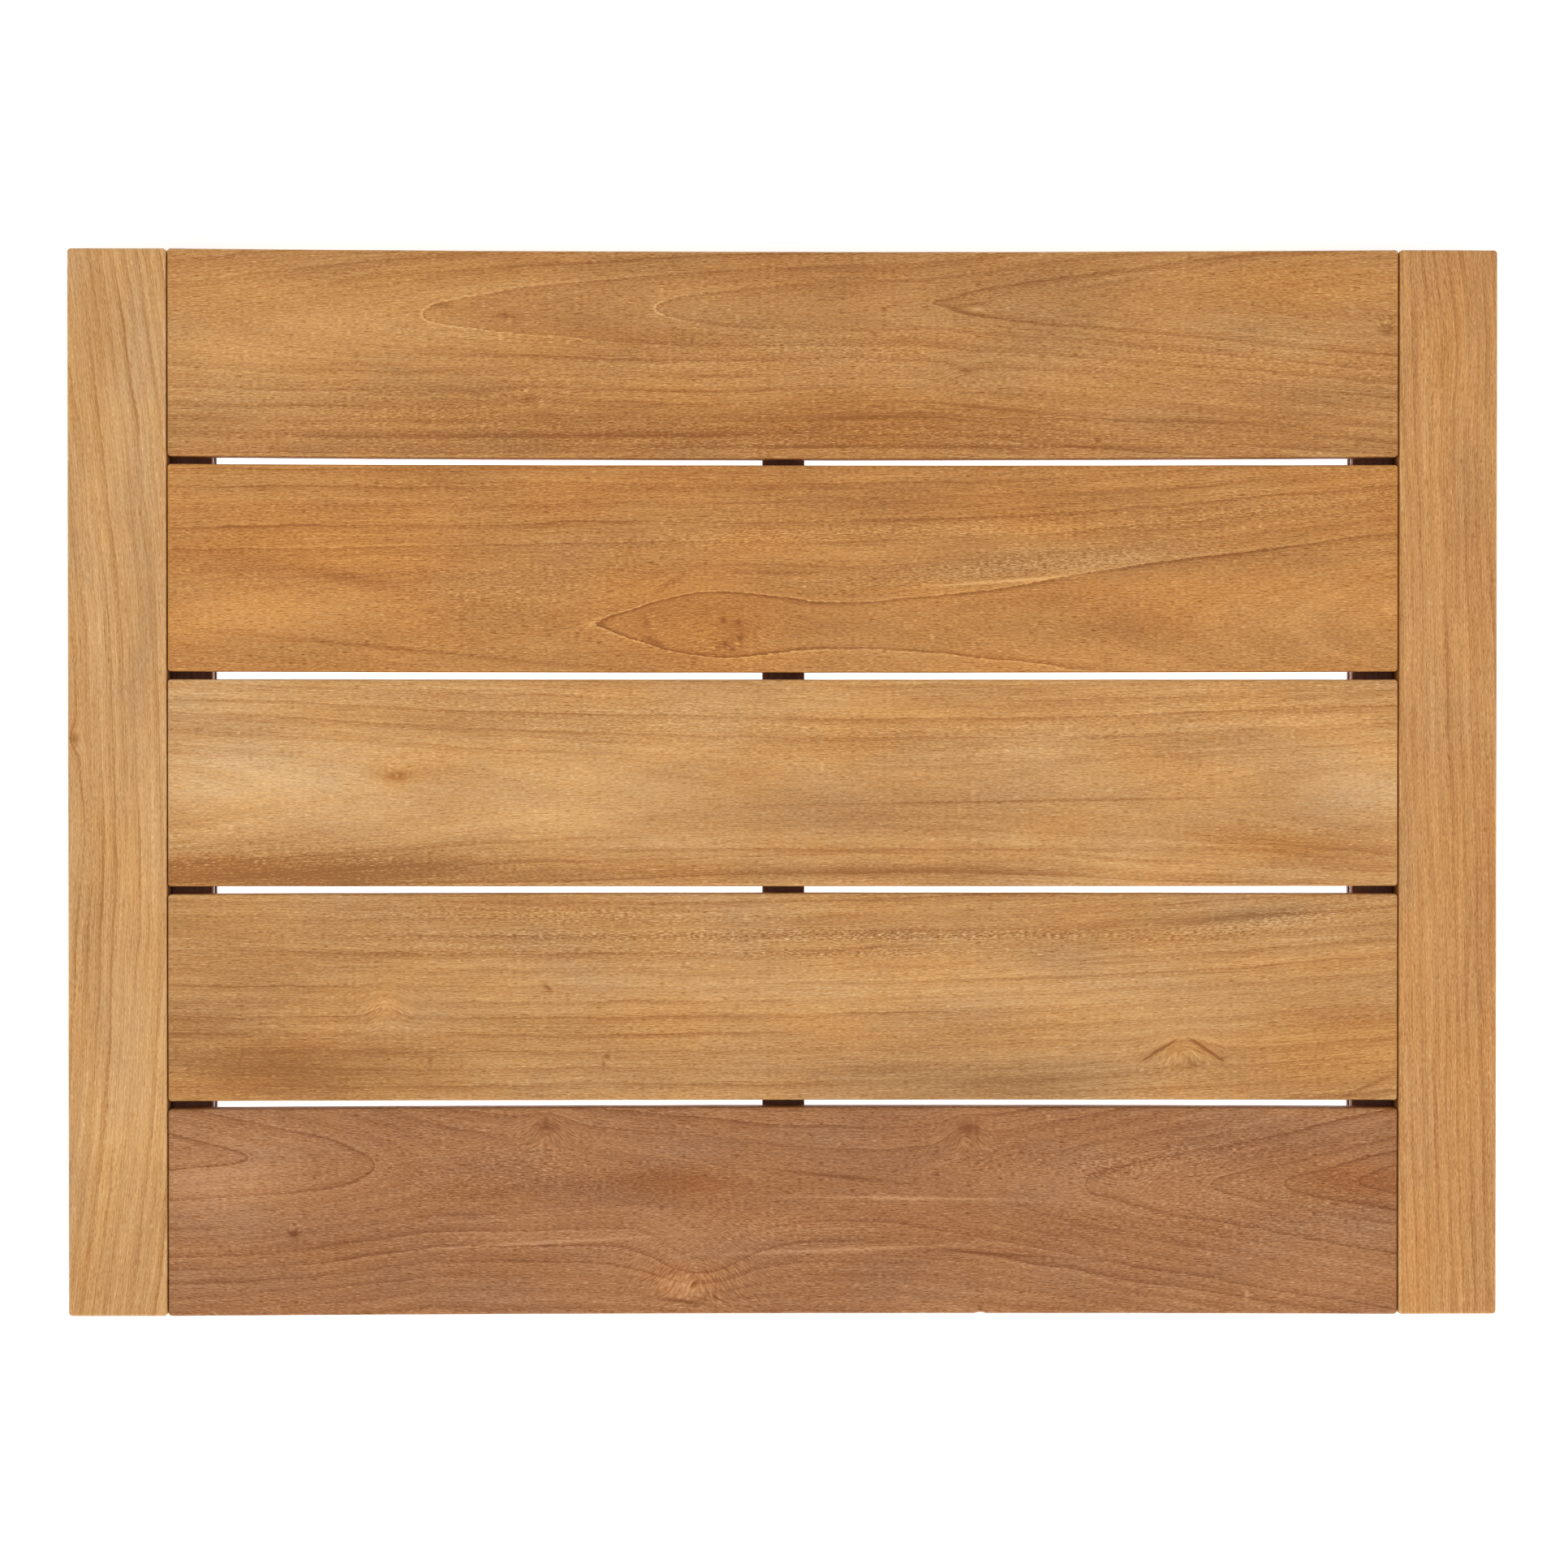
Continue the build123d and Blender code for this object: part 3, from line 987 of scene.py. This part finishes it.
EASING_STEPS = (15, 30, 45)  # degrees round an edge at which its lines lie
EDGE_COSINE = math.cos(math.radians(45))
CHIP_STEP = 0.35 * MM
SANDING_SIZE = 28 * MM  # how long one rise or hollow of the sanding is
CHIP_SIDE = -0.1  # a point that faces forward more than this can be chipped
CHIP_FADE = 0.2  # how far below the middle the chip starts, as a share of half the thickness
END_START = 0.7  # how much a point faces along the grain where end grain starts


def lattice(half, easing, cell, extra=()):
    """Lines across a board from -half to half: even steps on the flat, any extra ones, and steps
    on the edges that become even round the easing."""
    flat = half - easing
    steps = max(2, round(2 * flat / cell))
    lines = {-flat + 2 * flat * step / steps for step in range(steps + 1)} | set(extra)
    for angle in EASING_STEPS:
        reach = flat + easing * math.tan(math.radians(angle))
        lines |= {-reach, reach}
    return sorted(lines)


def eased(point, halves, easing):
    """Moves a point of a box onto the same box with round edges. Gives the place, the direction
    it faces, and how far onto an edge it is, from 0 to 1."""
    core = Vector(
        max(easing - half, min(half - easing, value)) for value, half in zip(point, halves)
    )
    facing = (point - core).normalized()
    edge = (1 - max(abs(value) for value in facing)) / (1 - EDGE_COSINE)
    return core + facing * easing, facing, min(1.0, edge)


def board(name, size, finish, look, seed, crook, chipped):
    """A planed board round its own middle, x along the grain, with eased edges, a slight crook
    and uneven sanding, and a chip in the front edge if it is chipped."""
    halves = size / 2
    extra = ()
    if chipped:
        count = math.ceil(look.chip_length / 2 / CHIP_STEP)
        extra = [look.chip_place + CHIP_STEP * step for step in range(-count, count + 1)]
    lines = [
        lattice(halves.x, look.easing, look.cell, extra),
        lattice(halves.y, look.easing, look.cell),
        lattice(halves.z, look.easing, look.cell),
    ]
    last = [len(axis) - 1 for axis in lines]
    places = {}
    points = []
    edges = []
    ends = []
    faces = []

    def corner(i, j, k):
        """The number of the point on lattice lines i, j and k, made when it is first asked for."""
        if (i, j, k) in places:
            return places[i, j, k]
        lattice_point = Vector((lines[0][i], lines[1][j], lines[2][k]))
        place, facing, edge = eased(lattice_point, halves, look.easing)
        where = place / SANDING_SIZE + Vector((seed, 0, 0))
        place += facing * (noise.noise(where) * look.unevenness)
        place.y += crook * (1 - (place.x / halves.x) ** 2)
        if chipped and facing.y < CHIP_SIDE:
            along = (place.x - look.chip_place) / (look.chip_length / 2)
            high = min(1.0, max(0.0, place.z / halves.z + CHIP_FADE))
            place.y += look.chip_depth * max(0.0, 1 - along**2) * high
        places[i, j, k] = len(points)
        points.append(place)
        edges.append(edge)
        ends.append(max(0.0, abs(facing.x) - END_START) / (1 - END_START))
        return places[i, j, k]

    for axis in range(3):
        first, second = (axis + 1) % 3, (axis + 2) % 3
        for end in (0, last[axis]):
            for a in range(last[first]):
                for b in range(last[second]):
                    around = ((a, b), (a + 1, b), (a + 1, b + 1), (a, b + 1))
                    face = []
                    for step_a, step_b in around if end else reversed(around):
                        index = [0, 0, 0]
                        index[axis], index[first], index[second] = end, step_a, step_b
                        face.append(corner(*index))
                    faces.append(face)

    mesh = bpy.data.meshes.new(name)
    mesh.from_pydata(points, [], faces)
    mesh.shade_smooth()
    for label, values in (("eased_edge", edges), ("end_grain", ends)):
        attribute = mesh.attributes.new(label, "FLOAT", "POINT")
        attribute.data.foreach_set("value", values)
    mesh.materials.append(finish)
    made = bpy.data.objects.new(name, mesh)
    bpy.context.scene.collection.objects.link(made)
    return made


def middle_and_size(node):
    """The middle of a CAD node and its size along each axis."""
    low, high = (Vector(corner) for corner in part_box(node))
    return (low + high) / 2, high - low


def face_middle(size):
    """The middle of a board's upper face, from which its material measures down."""
    return Vector((0.0, 0.0, size.z / 2))


def lay_board(node, label, seed, turn=0.0, crook=0.0, chipped=False):
    """A slat or rail in place of its CAD node. turn brings its grain from X to where it runs."""
    look = bpy.context.scene.bath_mat_teak
    middle, size = middle_and_size(node)
    if turn:
        size = Vector((size.y, size.x, size.z))
    finish = teak(
        f"Teak, sanded and oiled, {label}",
        getattr(look, node),
        PLAIN | GRAIN[node],
        seed,
        look,
        centre=face_middle(size),
    )
    shape = bpy.context.scene.bath_mat_boards
    piece = board(f"{node}_board", size, finish, shape, seed, crook, chipped)
    piece.location = middle
    piece.rotation_euler.z = turn
    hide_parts(node)
    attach(piece, "root")


# -------- operators


# The seeds give each board grain of its own.
SLAT_SEEDS = (10, 17, 24, 31, 38)
RAIL_SEEDS = {"left": 51, "right": 62}
BATTEN_SEEDS = {"left": 70, "centre": 79, "right": 88}
CHIPPED_SLAT = 5


class BATHMAT_OT_slats(bpy.types.Operator):
    """Makes the five slats of the deck"""

    bl_idname = "bath_mat.slats"
    bl_label = "Slats"

    def execute(self, context):
        crooks = context.scene.bath_mat_boards.crooks
        for number, (seed, crook) in enumerate(zip(SLAT_SEEDS, crooks), start=1):
            chipped = number == CHIPPED_SLAT
            lay_board(f"slat_{number}", f"slat {number}", seed, crook=crook, chipped=chipped)
        return {"FINISHED"}


class BATHMAT_OT_rails(bpy.types.Operator):
    """Makes the two end rails"""

    bl_idname = "bath_mat.rails"
    bl_label = "Rails"

    def execute(self, context):
        for side, seed in RAIL_SEEDS.items():
            lay_board(f"rail_{side}", f"{side} rail", seed, turn=QUARTER_TURN)
        return {"FINISHED"}


class BATHMAT_OT_battens(bpy.types.Operator):
    """Finishes the three battens under the slats"""

    bl_idname = "bath_mat.battens"
    bl_label = "Battens"

    def execute(self, context):
        look = context.scene.bath_mat_teak
        for place, seed in BATTEN_SEEDS.items():
            node = f"batten_{place}"
            middle, size = middle_and_size(node)
            # look.batten is darker than the slats' teak: painted shade for the battens seen down in
            # the gaps.
            finish = teak(
                f"Teak, sawn and oiled, {place} batten",
                look.batten,
                PLAIN | GRAIN["batten"],
                seed,
                look,
                centre=middle + face_middle(size),
                turn=QUARTER_TURN,
            )
            give(node, finish)
        return {"FINISHED"}


class BATHMAT_OT_screws(bpy.types.Operator):
    """Finishes the screws and washers"""

    bl_idname = "bath_mat.screws"
    bl_label = "Screws and washers"

    def execute(self, context):
        steel = stainless_steel(context.scene.bath_mat_hardware)
        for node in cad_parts:
            if "screws" in node or "washers" in node:
                give(node, steel)
        return {"FINISHED"}


class BATHMAT_OT_feet(bpy.types.Operator):
    """Finishes the six rubber feet"""

    bl_idname = "bath_mat.feet"
    bl_label = "Feet"

    def execute(self, context):
        rubber = moulded_rubber(context.scene.bath_mat_hardware)
        for column in ("left", "centre", "right"):
            for row in ("back", "front"):
                give(f"foot_{column}_{row}", rubber)
        return {"FINISHED"}


class BATHMAT_OT_stage(bpy.types.Operator):
    """Makes the floor, the light and the camera"""

    bl_idname = "bath_mat.stage"
    bl_label = "Stage"

    def execute(self, context):
        settings = context.scene.bath_mat_stage
        make_floor(settings)
        make_light("Top light", settings.top_light, TOP_LIGHT_WIDTH, TOP_LIGHT_PLACE)
        make_light("Front light", settings.front_light, FRONT_LIGHT_WIDTH, FRONT_LIGHT_PLACE)
        world = bpy.data.worlds.new("Even light")
        world.use_nodes = True
        sky = world.node_tree.nodes["Background"]
        sky.inputs["Color"].default_value = (1.0, 1.0, 1.0, 1.0)
        sky.inputs["Strength"].default_value = settings.sky
        context.scene.world = world
        context.scene.view_settings.view_transform = "Standard"

        camera = bpy.data.objects.new("Camera", bpy.data.cameras.new("Camera"))
        camera.location = settings.camera_place
        camera.rotation_euler = Euler(settings.camera_turn)
        camera.data.lens = settings.lens
        camera.data.sensor_width = SENSOR_WIDTH
        context.scene.collection.objects.link(camera)
        context.scene.camera = camera
        return {"FINISHED"}


# All in metres, but for the camera's sensor, which is in millimetres.
TOP_LIGHT_WIDTH = 3.0
TOP_LIGHT_PLACE = (0.0, 0.0, 2.8)
FRONT_LIGHT_WIDTH = 1.2
FRONT_LIGHT_PLACE = (0.5, -1.6, 1.5)
FLOOR_REACH = 12.0
FLOOR_CORNERS = ((-1, -1), (1, -1), (1, 1), (-1, 1))
GAP_GLOW_INSET = 20 * MM  # how far inside the mat's outline the floor's stronger glow ends
SENSOR_WIDTH = 36.0


def make_light(name, power, width, place):
    """A soft square light that points at the mat."""
    light = bpy.data.objects.new(name, bpy.data.lights.new(name, "AREA"))
    light.data.size = width
    light.data.energy = power
    light.location = place
    light.rotation_euler = (-Vector(place)).to_track_quat("-Z", "Y").to_euler()
    bpy.context.scene.collection.objects.link(light)


def make_floor(settings):
    """A pale matt floor that glows a little, and more under the mat, so that light comes up
    through the gaps between the slats."""
    mesh = bpy.data.meshes.new("Floor")
    corners = [(x * FLOOR_REACH, y * FLOOR_REACH, 0) for x, y in FLOOR_CORNERS]
    mesh.from_pydata(corners, [], [(0, 1, 2, 3)])
    floor = bpy.data.objects.new("Floor", mesh)
    bpy.context.scene.collection.objects.link(floor)
    made, tree = material("Pale paper floor")
    place = add(tree, "ShaderNodeTexCoord", output="Object")
    axes = add(tree, SEPARATE, {0: place}, output=EVERY)
    under = 1.0
    for axis, edge in zip(axes[:2], CAD_BOX[1]):
        out = add(tree, MATH, {0: axis}, operation="ABSOLUTE")
        inside = add(tree, MATH, {0: out, 1: edge - GAP_GLOW_INSET}, operation="LESS_THAN")
        under = add(tree, MATH, {0: inside, 1: under}, operation="MULTIPLY")
    glow = add(
        tree,
        MAP_RANGE,
        {"Value": under, "To Min": settings.floor_glow, "To Max": settings.gap_glow},
    )
    surface = add(
        tree,
        PRINCIPLED,
        {
            "Base Color": (*settings.floor, 1.0),
            "Roughness": 0.9,
            "Specular IOR Level": 0.1,
            "Emission Color": (1.0, 1.0, 1.0, 1.0),
            "Emission Strength": glow,
        },
    )
    add(tree, SURFACE, {"Surface": surface})
    mesh.materials.append(made)


class BATHMAT_PT_panel(bpy.types.Panel):
    """The steps that make the bath mat, in order"""

    bl_idname = "BATHMAT_PT_panel"
    bl_label = "Bath mat"
    bl_space_type = "VIEW_3D"
    bl_region_type = "UI"
    bl_category = "Bath mat"

    def draw(self, context):
        for operator in OPERATORS:
            self.layout.operator(operator.bl_idname)


OPERATORS = (
    BATHMAT_OT_slats,
    BATHMAT_OT_rails,
    BATHMAT_OT_battens,
    BATHMAT_OT_screws,
    BATHMAT_OT_feet,
    BATHMAT_OT_stage,
)
SETTINGS = {
    "bath_mat_teak": BathMatTeak,
    "bath_mat_boards": BathMatBoards,
    "bath_mat_hardware": BathMatHardware,
    "bath_mat_stage": BathMatStage,
}
CLASSES = (*SETTINGS.values(), *OPERATORS, BATHMAT_PT_panel)


def register():
    for each in CLASSES:
        bpy.utils.register_class(each)
    for name, group in SETTINGS.items():
        setattr(bpy.types.Scene, name, bpy.props.PointerProperty(type=group))


def unregister():
    for name in SETTINGS:
        delattr(bpy.types.Scene, name)
    for each in reversed(CLASSES):
        bpy.utils.unregister_class(each)


def main():
    """Makes the whole scene."""
    register()
    for operator in OPERATORS:
        group, name = operator.bl_idname.split(".")
        getattr(getattr(bpy.ops, group), name)()


if __name__ == "__main__":
    main()
